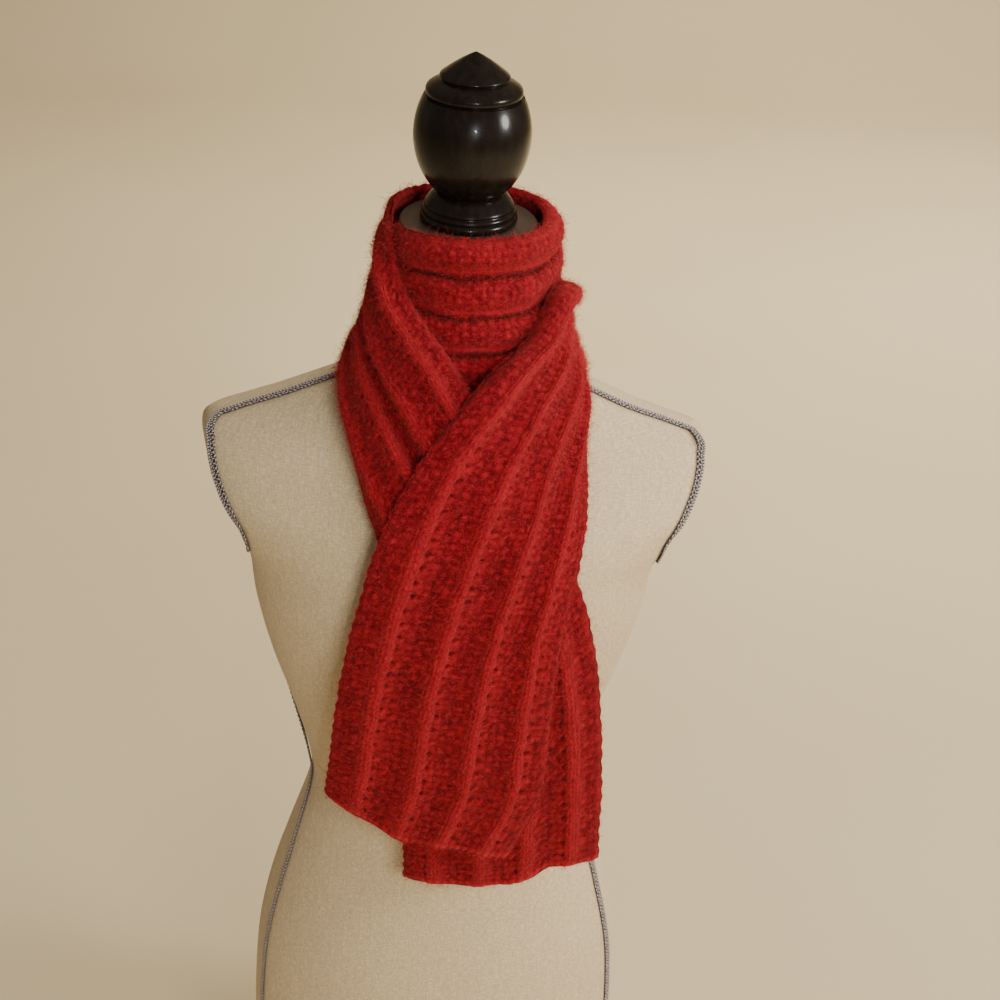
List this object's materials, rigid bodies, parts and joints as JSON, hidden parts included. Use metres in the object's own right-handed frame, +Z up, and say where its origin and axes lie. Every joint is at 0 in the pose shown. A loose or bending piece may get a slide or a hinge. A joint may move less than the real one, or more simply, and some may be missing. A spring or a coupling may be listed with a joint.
{
  "type": "scarf on dress form",
  "caption": "Ribbed knit scarf wound once round the neck of a limbless dress form, its two tails crossing at the front, on a small round stand.",
  "frame": {"origin": "middle of the underside of the stand's base, on the surface it stands on", "axes": "+Z up, -Y the front of the dress form, +X to the right of a viewer in front of it"},
  "size_m": [0.3888, 0.2813, 0.9882],
  "materials": {
    "knit": "fuzzy chunky wool, ribs raised over seed stitch",
    "linen": "plain weave with slubs, stretched smooth",
    "braid": "flat looped gimp braid",
    "plate": "satin",
    "dark_wood": "turned and lacquered, glossy"
  },
  "bodies": {
    "root": {"tail_over": "knit", "tail_under": "knit", "back_wrap": "knit", "neck_band": "knit", "torso": "linen", "braid_left": "braid", "braid_right": "braid", "neck_plate": "plate", "finial": "dark_wood", "post": "dark_wood", "base": "dark_wood"}
  },
  "joints": []
}
